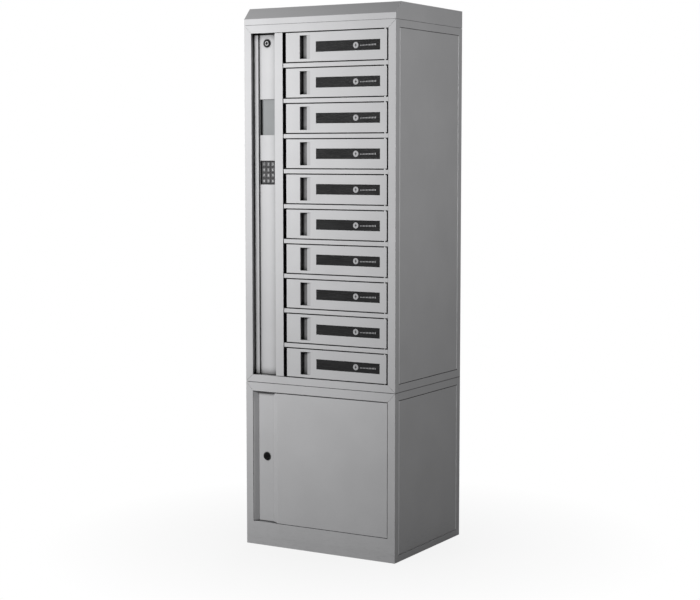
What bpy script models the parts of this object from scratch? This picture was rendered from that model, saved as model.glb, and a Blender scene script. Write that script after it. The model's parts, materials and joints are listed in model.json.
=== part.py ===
"""A phone charging kiosk: ten charging lockers and a control column above a base cabinet.

Lengths are in metres, +Z is up, the front faces -Y, and the origin is at the middle of the underside.
Places are written as distances from the cabinet's left edge, its front face and the floor.
place() turns them into the frame whose origin is at the middle of the underside.
"""

import math

import bmesh
import bpy
from mathutils import Matrix, Vector

# Driving dimensions
WIDTH = 0.480
DEPTH = 0.392
HEIGHT = 1.508
SEAM = 0.465  # the upper cabinet stands on the base cabinet here
FRAME_SEAM = 0.0016  # gap between the two face frames at the seam
CAP_FOOT = 1.461  # the top cap starts here
CAP_SEAM = 0.0009  # gap between the cap and the upper cabinet
SHEET = 0.0015  # thickness of the folded steel
FIT = 0.0003  # gap between pieces that touch
OVERCUT = 0.010  # how far a cutter reaches past what it cuts

# The face frames: channels folded from sheet, open at the back
STILE = 0.0225
FRAME_DEPTH = 0.0215
UPPER_OPENING = (0.4862, 1.4380)
BASE_OPENING = (0.0660, 0.4400)

# The welded mitres at the frames' corners, seen as a fine groove
MITRE_WIDTH = 0.0005
MITRE_DEPTH = 0.0006

# The side panels: a thin web with a groove round it, inside a thick border
SIDE_THICKNESS = 0.012
SIDE_GROOVE = 0.002  # the groove's depth, and its width along the web's top and bottom
SIDE_GROOVE_FLOOR = 0.0005  # the upright grooves widen from this at their floor
SIDE_GROOVE_MOUTH = 0.003  # to this at the surface
SIDE_REAR_BORDER = 0.021
SIDE_HOLLOW_MARGIN = 0.004  # from the groove's outer edge to the hollow behind the web
UPPER_SIDE_WEB = (0.4868, 1.4400)
BASE_SIDE_WEB = (0.0180, 0.4437)

# The top cap
CAP_FRONT_STRIP = 0.0163
CAP_SLOPE_DEPTH = 0.0287

# The ten lockers
LOCKERS = 10
LOCKER_X = (0.1371, 0.4531)
LOCKER_HEIGHT = 0.0785
LOCKER_PITCH = 0.0963
LOCKER_TOP = 1.4346
LOCKER_GAP = 0.0033  # between a door and the shelf lip above or below it
LOCKER_FOLD = 0.016
LOCKER_HINGE = (0.4455, 0.006)
POCKET_HEIGHT = 0.0635
POCKET_X = (0.1815, 0.1982, 0.2147)  # left wall, foot of the slope, top of the slope
POCKET_DEPTHS = (0.009, 0.013)  # where the slope ends, and the floor
WINDOW_X = (0.2327, 0.4326)
WINDOW_HEIGHT = 0.0284
WINDOW_FLANGE = 0.004
STRIKER_X = (0.1415, 0.1445)
STRIKER_END = 0.034
STRIKER_HEIGHT = 0.016

# The bay rack
RACK_X = (0.1284, 0.4569)
RACK_WALL_FRONT = 0.020
RACK_BACK = 0.3447
LIP_RETURN = 0.014

# Hinge pins, which are part of each door and turn in holes in the frames and the shelf lips
PIN_RADIUS = 0.0020
PIN_HOLE_RADIUS = 0.0024
PIN_REACH = 0.005
PIN_SIDES = 12
LOCKER_COLLAR = (0.0028, 0.0029)  # radius and height
DOOR_COLLAR = (0.0035, 0.0010)

# The control column's door: a channel on the left and a flush strip on the right
CONTROL_LINE = (
    (0.0246, 0.0130),
    (0.0374, 0.0130),
    (0.0374, 0.0185),
    (0.0884, 0.0185),
    (0.1004, 0.0000),
    (0.1257, 0.0000),
)
CONTROL_FLOOR = 0.0185
CONTROL_HINGE = (0.1212, 0.005)
CONTROL_NOTCH = (0.0960, 0.0028)  # the channel's top stops short: how far across, and by how much
DOOR_FOLD = 0.0235
DOOR_GAP = 0.0017

# The base door: a channel on the left and a flat panel on the right
BASE_LINE = (
    (0.0241, 0.0000),
    (0.0340, 0.0140),
    (0.0820, 0.0140),
    (0.1038, 0.0000),
    (0.4559, 0.0000),
)
BASE_FLOOR_DEPTH = 0.0140
BASE_DOOR_Z = (0.0677, 0.4371)
BASE_HINGE = (0.4459, 0.005)

# The cam locks
LOCK_SIDES = 32
LOCK_FLANGE = (0.0110, 0.0022)  # radius and thickness
LOCK_BARREL_RADIUS = 0.0090
LOCK_BORE_RADIUS = 0.0066
LOCK_PLUG_RADIUS = 0.0062
LOCK_BARREL_END = 0.0262
CAM_DEPTHS = (0.0268, 0.0298)
CAM_LENGTH = 0.0480
CAM_WIDTH = 0.0140
KEYWAY = (0.0014, 0.0070, 0.0030)  # width, height and depth
CONTROL_LOCK = (0.0640, 1.4105)
BASE_LOCK = (0.0610, 0.2540)

# The display and the keypad in the control door's channel
DISPLAY_X = (0.0396, 0.0874)
DISPLAY_Z = (1.1580, 1.2570)
DISPLAY_WALL = 0.003
DISPLAY_SET_BACK = 0.010
SCREEN_THICKNESS = 0.002
KEYPAD_X = (0.0400, 0.0872)
KEYPAD_Z = (1.0210, 1.0870)
KEYPAD_FRONT = 0.0235
KEYPAD_BACK = 0.0335
KEY_NAMES = (("1", "2", "3"), ("4", "5", "6"), ("7", "8", "9"), ("star", "0", "hash"))
KEY_PITCH = (0.0145, 0.0156)
KEY_SIZE = (0.0116, 0.0124)
KEY_DEPTHS = (0.0223, 0.0290)
KEY_POCKET_END = 0.0305
KEY_CLEARANCE = 0.0004
KEY_ROUNDING = 0.0012

# What the kiosk holds inside
CHARGING_PANEL_Y = (0.3450, 0.3480)
OUTLET_SIZE = (0.060, 0.0220, 0.0080)  # width, height and depth of each charging outlet
OUTLET_X = 0.2900
SOCKET_SIZE = (0.0090, 0.0032, 0.0050)
LATCH_Y = (0.0200, 0.0440)
LATCH_SLOT_X = (0.1385, 0.1475)
LATCH_SLOT_END = 0.0380
LATCH_RIGHT = 0.1520
LATCH_LEFT_ARM = 0.0040
LATCH_HEIGHT = 0.0320
LATCH_STRIP_X = (0.1250, 0.1281)
LATCH_STRIP_Y = (0.0280, 0.0600)
LATCH_WINDOW_CLEARANCE = 0.001

# Back panels, floors and plates
BACK_SHEET = 0.0018
BACK_SET_IN = 0.0022  # the back panels lie this far inside the sides' rear edges
PLATE = 0.002
VENT = (0.120, 0.006)
VENT_PITCH = 0.014
VENTS = 8
VENT_TOP = 1.400
INLET_X = (0.060, 0.108)
INLET_Z = (0.520, 0.548)
INLET_BODY = 0.028
INLET_SOCKET = (0.024, 0.016, 0.018)  # width, height and depth
BLADE = (0.002, 0.005)  # width and height
BLADE_DEPTHS = (0.006, 0.020)  # the tip and the root, from the inlet's face
BLADE_PLACES = ((-0.007, -0.002), (0.0, 0.002), (0.007, -0.002))
SUPPLY_Y = (0.150, 0.330)
SUPPLY_Z = (0.520, 0.700)
SUPPLY_WIDTH = 0.062
SUPPLY_SLOTS = 6
CONTROLLER_Y = (0.120, 0.260)
CONTROLLER_Z = (0.980, 1.160)
CONTROLLER_WIDTH = 0.034
PORT_MARGIN = 0.008
ANCHOR_RADIUS = 0.006
ANCHOR_INSET = (0.060, 0.060)

FINISHES = {
    "steel": ((0.50, 0.50, 0.51, 1.0), 0.42, 0.35),
    "inner_steel": ((0.30, 0.30, 0.31, 1.0), 0.50, 0.35),
    "smoked_acrylic": ((0.03, 0.03, 0.03, 1.0), 0.20, 0.0),
    "black_plastic": ((0.02, 0.02, 0.02, 1.0), 0.50, 0.0),
    "key_plastic": ((0.07, 0.07, 0.075, 1.0), 0.55, 0.0),
    "screen_glass": ((0.36, 0.38, 0.38, 1.0), 0.15, 0.0),
    "plated_steel": ((0.62, 0.62, 0.62, 1.0), 0.25, 1.0),
    "zinc": ((0.55, 0.56, 0.57, 1.0), 0.35, 1.0),
}

kiosk = None
cutters = None


def clear_scene():
    for old in list(bpy.data.objects):
        bpy.data.objects.remove(old, do_unlink=True)


def new_collection(name):
    collection = bpy.data.collections.new(name)
    bpy.context.scene.collection.children.link(collection)
    return collection


def place(x, y, z):
    return Vector((x - WIDTH / 2, y - DEPTH / 2, z))


def finish_for(name, finish):
    material = bpy.data.materials.new(name + "_" + finish)
    material.use_nodes = True
    shader = material.node_tree.nodes["Principled BSDF"]
    colour, roughness, metallic = FINISHES[finish]
    shader.inputs["Base Color"].default_value = colour
    shader.inputs["Roughness"].default_value = roughness
    shader.inputs["Metallic"].default_value = metallic
    return material


def object_from(name, bm, finish, pivot, smooth=False):
    """Makes the object of a mesh that was built in the cabinet's frame, with its origin at the pivot."""
    bmesh.ops.translate(bm, verts=bm.verts, vec=-pivot)
    mesh = bpy.data.meshes.new(name)
    bm.to_mesh(mesh)
    bm.free()
    if smooth:
        mesh.shade_smooth()
        mesh.set_sharp_from_angle(angle=math.radians(35))
    made = bpy.data.objects.new(name, mesh)
    made.location = pivot
    if finish is None:
        cutters.objects.link(made)
        made.hide_render = True
        made.display_type = "WIRE"
    else:
        kiosk.objects.link(made)
        mesh.materials.append(finish_for(name, finish))
    return made


def block(name, x, y, z, finish=None, pivot=Vector()):
    """A box between two distances from the left edge, the front face and the floor."""
    low = place(x[0], y[0], z[0])
    high = place(x[1], y[1], z[1])
    bm = bmesh.new()
    bmesh.ops.create_cube(bm, size=1.0)
    bmesh.ops.scale(bm, verts=bm.verts, vec=high - low)
    bmesh.ops.translate(bm, verts=bm.verts, vec=(high + low) / 2)
    return object_from(name, bm, finish, pivot)


def rod(name, centre, radius, span, axis, finish=None, pivot=Vector()):
    """A cylinder along Z at centre (x, y), or along Y at centre (x, z)."""
    bm = bmesh.new()
    length = span[1] - span[0]
    sides = LOCK_SIDES if axis == "Y" else PIN_SIDES
    bmesh.ops.create_cone(bm, cap_ends=True, segments=sides, radius1=radius, radius2=radius, depth=length)
    middle = (span[0] + span[1]) / 2
    if axis == "Y":
        bmesh.ops.rotate(bm, verts=bm.verts, matrix=Matrix.Rotation(math.pi / 2, 3, "X"))
        bmesh.ops.translate(bm, verts=bm.verts, vec=place(centre[0], middle, centre[1]))
    else:
        bmesh.ops.translate(bm, verts=bm.verts, vec=place(centre[0], centre[1], middle))
    return object_from(name, bm, finish, pivot, smooth=True)


def extrusion(name, outline, span, axis, finish=None, pivot=Vector()):
    """A flat outline pulled along Z, where its points are (x, y), or along X, where they are (y, z)."""
    curve = bpy.data.curves.new(name, "CURVE")
    curve.dimensions = "2D"
    curve.fill_mode = "BOTH"
    curve.extrude = (span[1] - span[0]) / 2
    spline = curve.splines.new("POLY")
    spline.points.add(len(outline) - 1)
    for point, (first, second) in zip(spline.points, outline):
        point.co = (first, second, 0, 1)
    spline.use_cyclic_u = True
    guide = bpy.data.objects.new(name + "_guide", curve)
    cutters.objects.link(guide)
    graph = bpy.context.evaluated_depsgraph_get()
    filled = bpy.data.meshes.new_from_object(guide.evaluated_get(graph))
    bm = bmesh.new()
    bm.from_mesh(filled)
    bpy.data.objects.remove(guide, do_unlink=True)
    bpy.data.curves.remove(curve)
    bpy.data.meshes.remove(filled)
    bmesh.ops.remove_doubles(bm, verts=bm.verts, dist=1e-6)
    bmesh.ops.recalc_face_normals(bm, faces=bm.faces)
    bmesh.ops.translate(bm, verts=bm.verts, vec=(0, 0, (span[0] + span[1]) / 2))
    if axis == "X":
        turn = Matrix(((0, 0, 1), (1, 0, 0), (0, 1, 0)))
        bmesh.ops.rotate(bm, verts=bm.verts, matrix=turn)
    bmesh.ops.translate(bm, verts=bm.verts, vec=place(0, 0, 0))
    return object_from(name, bm, finish, pivot)


def apply_boolean(target, tool, operation):
    modifier = target.modifiers.new(operation.title() + " " + tool.name, "BOOLEAN")
    modifier.operation = operation
    modifier.object = tool


def cut(target, tool):
    apply_boolean(target, tool, "DIFFERENCE")


def join(target, tool):
    apply_boolean(target, tool, "UNION")


def apply_modifiers(made):
    """Replaces the object's mesh by the one its modifiers make, so that copies can share it."""
    graph = bpy.context.evaluated_depsgraph_get()
    mesh = bpy.data.meshes.new_from_object(made.evaluated_get(graph))
    mesh.name = made.name
    made.modifiers.clear()
    made.data = mesh


def copy_of(made, name, location):
    twin = bpy.data.objects.new(name, made.data)
    twin.location = location
    kiosk.objects.link(twin)
    return twin


def inset(outline, distance):
    """The outline with each side moved inwards. It runs anticlockwise; a negative distance moves outwards."""
    moved = []
    for index, corner in enumerate(outline):
        here = Vector(corner)
        along = (here - Vector(outline[index - 1])).normalized()
        onward = (Vector(outline[(index + 1) % len(outline)]) - here).normalized()
        first = Vector((-along.y, along.x))
        second = Vector((-onward.y, onward.x))
        moved.append(tuple(here + (first + second) * distance / (1 + first.dot(second))))
    return moved


def around(middle, size):
    return (middle - size / 2, middle + size / 2)


def grown(span, margin):
    return (span[0] - margin, span[1] + margin)


def mirrored(span):
    return (WIDTH - span[1], WIDTH - span[0])


def locker_top(index):
    return LOCKER_TOP - index * LOCKER_PITCH


def locker_middle(index):
    return locker_top(index) - LOCKER_HEIGHT / 2


def cut_mitre(frame, name, corner, opening_corner):
    """A fine groove across the frame's face, from its outer corner to its opening's corner."""
    start = place(corner[0], 0, corner[1])
    end = place(opening_corner[0], 0, opening_corner[1])
    way = end - start
    bm = bmesh.new()
    bmesh.ops.create_cube(bm, size=1.0)
    bmesh.ops.scale(bm, verts=bm.verts, vec=(way.length + OVERCUT, 2 * MITRE_DEPTH, MITRE_WIDTH))
    turn = Matrix.Rotation(-math.atan2(way.z, way.x), 3, "Y")
    bmesh.ops.rotate(bm, verts=bm.verts, matrix=turn)
    bmesh.ops.translate(bm, verts=bm.verts, vec=(start + end) / 2)
    cut(frame, object_from(name, bm, None, Vector()))


def make_face_frame(name, z, opening, pins, mitred):
    """A ring of folded channel, open at the back, with a hole in each rail for every hinge pin.

    Its corners are mitred at the ends named in mitred: 0 is its foot and 1 its top.
    """
    frame = block(name, (0, WIDTH), (0, FRAME_DEPTH), z, "steel")
    opening_x = (STILE, WIDTH - STILE)
    cut(frame, block(name + "_opening", opening_x, (-OVERCUT, FRAME_DEPTH + OVERCUT), opening))
    channel = block(
        name + "_channel", (SHEET, WIDTH - SHEET), (SHEET, FRAME_DEPTH + OVERCUT), grown(z, -SHEET)
    )
    core = block(
        name + "_core", grown(opening_x, SHEET), (-OVERCUT, FRAME_DEPTH + 2 * OVERCUT), grown(opening, SHEET)
    )
    cut(channel, core)
    cut(frame, channel)
    for number, pin in enumerate(pins):
        hole = rod(f"{name}_pin_hole_{number}", pin, PIN_HOLE_RADIUS, grown(opening, OVERCUT), "Z")
        cut(frame, hole)
    for x, inner_x in ((0, STILE), (WIDTH, WIDTH - STILE)):
        for end in mitred:
            cut_mitre(frame, f"{name}_mitre_{x:.2f}_{end}", (x, z[end]), (inner_x, opening[end]))


def upright_groove(start):
    """The left side's upright groove from above: a straight front wall, a floor, and a slanting rear wall."""
    slant = SIDE_GROOVE_MOUTH - SIDE_GROOVE_FLOOR
    return [
        (-SIDE_GROOVE, start),
        (SIDE_GROOVE, start),
        (SIDE_GROOVE, start + SIDE_GROOVE_FLOOR),
        (-SIDE_GROOVE, start + SIDE_GROOVE_FLOOR + 2 * slant),
    ]


def make_side(name, z, web, right):
    """A side panel: a groove round the web's outer face, and a hollow behind the web."""
    spans = [(0, SIDE_THICKNESS), (-OVERCUT, SIDE_GROOVE), (SHEET, SIDE_THICKNESS + OVERCUT)]
    if right:
        spans = [mirrored(span) for span in spans]
    side = block(name, spans[0], (FRAME_DEPTH + FIT, DEPTH), z, "steel")
    web_y = (FRAME_DEPTH, DEPTH - SIDE_REAR_BORDER)
    for label, low in (("lower", web[0]), ("upper", web[1] - SIDE_GROOVE)):
        cut(side, block(f"{name}_{label}_groove", spans[1], grown(web_y, FIT), (low, low + SIDE_GROOVE)))
    for label, start in (("front", web_y[0]), ("rear", web_y[1] - SIDE_GROOVE_MOUTH)):
        outline = upright_groove(start)
        if right:
            outline = [(WIDTH - x, y) for x, y in outline]
        cut(side, extrusion(f"{name}_{label}_groove", outline, grown(web, -SIDE_GROOVE / 2), "Z"))
    hollow_y = grown(web_y, -SIDE_HOLLOW_MARGIN)
    cut(side, block(name + "_hollow", spans[2], hollow_y, grown(web, -SIDE_HOLLOW_MARGIN)))


def inside_x():
    return grown((SIDE_THICKNESS, WIDTH - SIDE_THICKNESS), -FIT)


def make_plate(name, z, finish="inner_steel"):
    """A flat plate that fills the cabinet from the face frame to the back panel."""
    y = (FRAME_DEPTH + FIT, DEPTH - BACK_SET_IN - BACK_SHEET - FIT)
    return block(name, inside_x(), y, z, finish)


def make_cabinet():
    upper = (SEAM + FIT / 2, CAP_FOOT - CAP_SEAM)
    base = (0, SEAM - FIT / 2)
    upper_face = (SEAM + FRAME_SEAM / 2, upper[1])
    base_face = (0, SEAM - FRAME_SEAM / 2)
    make_face_frame("upper_front_frame", upper_face, UPPER_OPENING, (LOCKER_HINGE, CONTROL_HINGE), (0, 1))
    make_face_frame("base_front_frame", base_face, BASE_OPENING, (BASE_HINGE,), (1,))
    for label, right in (("left", False), ("right", True)):
        make_side(f"upper_{label}_side", upper, UPPER_SIDE_WEB, right)
        make_side(f"base_{label}_side", base, BASE_SIDE_WEB, right)
    make_plate("upper_floor", (upper[0], upper[0] + PLATE))
    make_plate("base_top_plate", (base[1] - PLATE, base[1]))
    make_plate("base_floor", (BASE_OPENING[0] - 2 * PLATE, BASE_OPENING[0] - PLATE))
    bottom = make_plate("bottom_plate", (0, PLATE), "zinc")
    for x in (ANCHOR_INSET[0], WIDTH - ANCHOR_INSET[0]):
        for y in (ANCHOR_INSET[1], DEPTH - ANCHOR_INSET[1]):
            cut(bottom, rod(f"anchor_hole_{x:.2f}_{y:.2f}", (x, y), ANCHOR_RADIUS, (-OVERCUT, OVERCUT), "Z"))
    make_backs(upper, base)
    make_cap()


def make_backs(upper, base):
    back = (DEPTH - BACK_SET_IN - BACK_SHEET, DEPTH - BACK_SET_IN)
    through = grown(back, OVERCUT)
    block("base_back_panel", inside_x(), back, base, "steel")
    panel = block("upper_back_panel", inside_x(), back, upper, "steel")
    for row in range(VENTS):
        z = around(VENT_TOP - row * VENT_PITCH, VENT[1])
        cut(panel, block(f"vent_{row}", around(WIDTH / 2, VENT[0]), through, z))
    cut(panel, block("inlet_opening", grown(INLET_X, FIT), through, grown(INLET_Z, FIT)))


def make_cap():
    """The top cap: a folded cover with a sloping front, open underneath."""
    foot = CAP_FOOT
    outline = [
        (0, foot),
        (DEPTH, foot),
        (DEPTH, HEIGHT),
        (CAP_SLOPE_DEPTH, HEIGHT),
        (0, foot + CAP_FRONT_STRIP),
    ]
    cap = extrusion("top_cap", outline, (0, WIDTH), "X", "steel")
    hollow = [(y, z if z > foot + 2 * SHEET else foot - OVERCUT) for y, z in inset(outline, SHEET)]
    cut(cap, extrusion("cap_hollow", hollow, (SHEET, WIDTH - SHEET), "X"))


def add_hinge_pins(door, name, hinge, z, collar):
    """The collars and pins that stand out of a door's top and bottom edges."""
    radius, height = collar
    for label, end, way in (("top", z[1], 1), ("bottom", z[0], -1)):
        reach = (end - way * SHEET / 2, end + way * height)
        join(door, rod(f"{name}_{label}_collar", hinge, radius, sorted(reach), "Z"))
        reach = (end - way * SHEET / 2, end + way * (height + PIN_REACH))
        join(door, rod(f"{name}_{label}_pin", hinge, PIN_RADIUS, sorted(reach), "Z"))


def make_folded_door(name, front_line, fold, z, pivot):
    """A door whose front follows the line, with its four edges folded back."""
    outline = list(front_line) + [(front_line[-1][0], fold), (front_line[0][0], fold)]
    door = extrusion(name, outline, z, "Z", "steel", pivot)
    hollow = [(x, y if y < fold - 2 * SHEET else fold + OVERCUT) for x, y in inset(outline, SHEET)]
    cut(door, extrusion(name + "_hollow", hollow, grown(z, -SHEET), "Z"))
    return door


def pocket_outline():
    """The finger pocket from above: a straight left wall, a floor, and a slope up to the door's face."""
    left, foot, top = POCKET_X
    slope_end, floor = POCKET_DEPTHS
    return [(left, 0), (top, 0), (foot, slope_end), (foot, floor), (left, floor)]


def make_locker_doors():
    z = (locker_top(0) - LOCKER_HEIGHT, locker_top(0))
    middle = locker_middle(0)
    pivot = place(*LOCKER_HINGE, middle)
    name = "locker_door_01"
    door = make_folded_door(name, [(x, 0) for x in LOCKER_X], LOCKER_FOLD, z, pivot)
    pocket = pocket_outline()
    cup = [(x, max(y, SHEET / 2)) for x, y in inset(pocket, -SHEET)]
    join(door, extrusion("pocket_cup", cup, around(middle, POCKET_HEIGHT + 2 * SHEET), "Z"))
    hollow = pocket[1:] + [(POCKET_X[0], -OVERCUT), (POCKET_X[2], -OVERCUT)]
    cut(door, extrusion("pocket_hollow", hollow, around(middle, POCKET_HEIGHT), "Z"))
    striker_y = (SHEET / 2, STRIKER_END)
    join(door, block("striker", STRIKER_X, striker_y, around(middle, STRIKER_HEIGHT)))
    window_z = around(middle, WINDOW_HEIGHT)
    cut(door, block("window_opening", WINDOW_X, (-OVERCUT, 2 * SHEET), window_z))
    add_hinge_pins(door, name, LOCKER_HINGE, z, LOCKER_COLLAR)
    apply_modifiers(door)
    window = block(
        "window_01",
        grown(WINDOW_X, WINDOW_FLANGE),
        (SHEET + FIT, 2 * SHEET + FIT),
        grown(window_z, WINDOW_FLANGE),
        "smoked_acrylic",
        pivot,
    )
    join(window, block("window_front", grown(WINDOW_X, -FIT), (FIT, 2 * SHEET), grown(window_z, -FIT)))
    apply_modifiers(window)
    for index in range(1, LOCKERS):
        location = place(*LOCKER_HINGE, locker_middle(index))
        copy_of(door, f"locker_door_{index + 1:02d}", location)
        copy_of(window, f"window_{index + 1:02d}", location)


def make_rack():
    """Two walls with a shelf under every locker and a top; each shelf between doors ends in a folded lip."""
    low = UPPER_OPENING[0] + FIT
    high = UPPER_OPENING[1] - FIT
    wall_y = (RACK_WALL_FRONT, RACK_BACK)
    left, right = RACK_X
    rack = block("bay_rack", (left, left + SHEET), wall_y, (low, high), "inner_steel")
    join(rack, block("rack_right_wall", (right - SHEET, right), wall_y, (low, high)))
    plate_y = (FRAME_DEPTH + FIT, RACK_BACK)
    join(rack, block("rack_bottom", RACK_X, plate_y, (low, low + SHEET)))
    join(rack, block("rack_top", RACK_X, plate_y, (high - SHEET, high)))
    for index in range(1, LOCKERS):
        bottom = locker_top(index) + LOCKER_GAP
        top = locker_top(index - 1) - LOCKER_HEIGHT - LOCKER_GAP
        lip = [
            (0, bottom),
            (LIP_RETURN, bottom),
            (LIP_RETURN, bottom + SHEET),
            (SHEET, bottom + SHEET),
            (SHEET, top - SHEET),
            (RACK_BACK, top - SHEET),
            (RACK_BACK, top),
            (0, top),
        ]
        join(rack, extrusion(f"shelf_{index}", lip, RACK_X, "X"))
    cut(rack, rod("rack_pin_hole", LOCKER_HINGE, PIN_HOLE_RADIUS, (low, high), "Z"))
    window_y = grown(LATCH_Y, LATCH_WINDOW_CLEARANCE)
    for index in range(LOCKERS):
        z = grown(around(locker_middle(index), LATCH_HEIGHT), LATCH_WINDOW_CLEARANCE)
        cut(rack, block(f"latch_window_{index}", grown((left, left + SHEET), SHEET / 2), window_y, z))


def make_charging_panel():
    """The rear wall of the bays, with a charging outlet in each."""
    x = grown(RACK_X, -FIT)
    z = grown(UPPER_OPENING, -FIT)
    panel = block("charging_panel", x, CHARGING_PANEL_Y, z, "black_plastic")
    front = CHARGING_PANEL_Y[0]
    for index in range(LOCKERS):
        middle = locker_middle(index)
        width, height, depth = OUTLET_SIZE
        outlet_y = (front - depth, front + SHEET)
        outlet = block(f"outlet_{index}", around(OUTLET_X, width), outlet_y, around(middle, height))
        join(panel, outlet)
        width, height, reach = SOCKET_SIZE
        socket_y = (front - depth - OVERCUT, front - depth + reach)
        for side in (-1, 1):
            x = around(OUTLET_X + side * OUTLET_SIZE[0] / 4, width)
            cut(panel, block(f"socket_{index}_{side}", x, socket_y, around(middle, height)))


def make_lock_rail():
    """A strip on the control side of the rack that carries ten latch units, one for each door's striker."""
    span = (locker_middle(LOCKERS - 1) - LATCH_HEIGHT, locker_middle(0) + LATCH_HEIGHT / 2)
    rail = block("lock_rail", LATCH_STRIP_X, LATCH_STRIP_Y, span, "zinc")
    front, back = LATCH_Y
    left = LATCH_STRIP_X[0]
    slot_left, slot_right = LATCH_SLOT_X
    outline = [
        (slot_left - LATCH_LEFT_ARM, front),
        (slot_left, front),
        (slot_left, LATCH_SLOT_END),
        (slot_right, LATCH_SLOT_END),
        (slot_right, front),
        (LATCH_RIGHT, front),
        (LATCH_RIGHT, back),
        (left + SHEET, back),
        (left + SHEET, LATCH_STRIP_Y[0] + SHEET),
        (slot_left - LATCH_LEFT_ARM, LATCH_STRIP_Y[0] + SHEET),
    ]
    for index in range(LOCKERS):
        z = around(locker_middle(index), LATCH_HEIGHT)
        join(rail, extrusion(f"latch_{index}", outline, z, "Z"))


def make_lock(name, centre, floor, pivot):
    """A cam lock: a flanged barrel fixed in the door, and a plug that turns in it and carries the cam."""
    face = floor - LOCK_FLANGE[1] - FIT
    body = rod(name + "_body", centre, LOCK_FLANGE[0], (face, floor - FIT), "Y", "plated_steel", pivot)
    join(body, rod(name + "_barrel", centre, LOCK_BARREL_RADIUS, (face, LOCK_BARREL_END), "Y"))
    cut(body, rod(name + "_bore", centre, LOCK_BORE_RADIUS, (face - OVERCUT, LOCK_BARREL_END + OVERCUT), "Y"))
    axis = place(centre[0], floor, centre[1])
    plug = rod(name + "_plug", centre, LOCK_PLUG_RADIUS, (face, CAM_DEPTHS[1]), "Y", "black_plastic", axis)
    cam_z = (centre[1] - CAM_LENGTH, centre[1] + CAM_WIDTH / 2)
    join(plug, block(name + "_cam", around(centre[0], CAM_WIDTH), CAM_DEPTHS, cam_z))
    width, height, depth = KEYWAY
    keyway_y = (face - OVERCUT, face + depth)
    cut(plug, block(name + "_keyway", around(centre[0], width), keyway_y, around(centre[1], height)))


def cut_lock_hole(door, name, centre):
    span = (0, DOOR_FOLD)
    cut(door, rod(name + "_hole", centre, LOCK_BARREL_RADIUS + FIT, span, "Y"))


def make_display(door, pivot):
    """A dark housing behind the control door's channel, with the screen set back inside it."""
    sheet_back = CONTROL_FLOOR + SHEET
    screen_front = CONTROL_FLOOR + DISPLAY_SET_BACK
    screen_back = screen_front + SCREEN_THICKNESS
    through = (CONTROL_FLOOR - OVERCUT / 2, sheet_back + OVERCUT / 2)
    cut(door, block("display_opening", DISPLAY_X, through, DISPLAY_Z))
    housing = block(
        "display_housing",
        grown(DISPLAY_X, DISPLAY_WALL),
        (sheet_back + FIT, screen_back + DISPLAY_WALL),
        grown(DISPLAY_Z, DISPLAY_WALL),
        "black_plastic",
        pivot,
    )
    cut(housing, block("display_hollow", DISPLAY_X, (sheet_back - OVERCUT, screen_back + FIT), DISPLAY_Z))
    screen_y = (screen_front, screen_back)
    block("display_screen", grown(DISPLAY_X, -FIT), screen_y, grown(DISPLAY_Z, -FIT), "screen_glass", pivot)


def make_keypad(door, pivot):
    """A keypad body with a pocket for each key, and twelve keys that slide inwards."""
    through = (CONTROL_FLOOR - OVERCUT / 2, CONTROL_FLOOR + OVERCUT)
    cut(door, block("keypad_opening", grown(KEYPAD_X, FIT), through, grown(KEYPAD_Z, FIT)))
    body_y = (KEYPAD_FRONT, KEYPAD_BACK)
    body = block("keypad_body", KEYPAD_X, body_y, KEYPAD_Z, "black_plastic", pivot)
    middle_x = sum(KEYPAD_X) / 2
    middle_z = sum(KEYPAD_Z) / 2
    first_row = (len(KEY_NAMES) - 1) / 2
    for row, names in enumerate(KEY_NAMES):
        for column, label in enumerate(names):
            x = around(middle_x + (column - 1) * KEY_PITCH[0], KEY_SIZE[0])
            z = around(middle_z + (first_row - row) * KEY_PITCH[1], KEY_SIZE[1])
            pocket_y = (KEYPAD_FRONT - OVERCUT, KEY_POCKET_END)
            pocket = block("key_pocket_" + label, grown(x, KEY_CLEARANCE), pocket_y, grown(z, KEY_CLEARANCE))
            cut(body, pocket)
            axis = place(sum(x) / 2, KEY_DEPTHS[0], sum(z) / 2)
            key = block("key_" + label, x, KEY_DEPTHS, z, "key_plastic", axis)
            rounding = key.modifiers.new("Rounded edges", "BEVEL")
            rounding.width = KEY_ROUNDING
            rounding.segments = 2


def make_control_door():
    z = grown(UPPER_OPENING, -DOOR_GAP)
    pivot = place(*CONTROL_HINGE, sum(z) / 2)
    door = make_folded_door("control_door", CONTROL_LINE, DOOR_FOLD, z, pivot)
    notch_end, notch_height = CONTROL_NOTCH
    notch_z = (z[1] - notch_height, z[1] + OVERCUT)
    cut(door, block("control_door_notch", (0, notch_end), (-OVERCUT, DOOR_FOLD + OVERCUT), notch_z))
    cut_lock_hole(door, "control_lock", CONTROL_LOCK)
    make_display(door, pivot)
    make_keypad(door, pivot)
    add_hinge_pins(door, "control_door", CONTROL_HINGE, z, DOOR_COLLAR)
    make_lock("control_lock", CONTROL_LOCK, CONTROL_FLOOR, pivot)


def make_base_door():
    pivot = place(*BASE_HINGE, sum(BASE_DOOR_Z) / 2)
    door = make_folded_door("base_door", BASE_LINE, DOOR_FOLD, BASE_DOOR_Z, pivot)
    cut_lock_hole(door, "base_lock", BASE_LOCK)
    add_hinge_pins(door, "base_door", BASE_HINGE, BASE_DOOR_Z, DOOR_COLLAR)
    make_lock("base_lock", BASE_LOCK, BASE_FLOOR_DEPTH, pivot)


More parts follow.
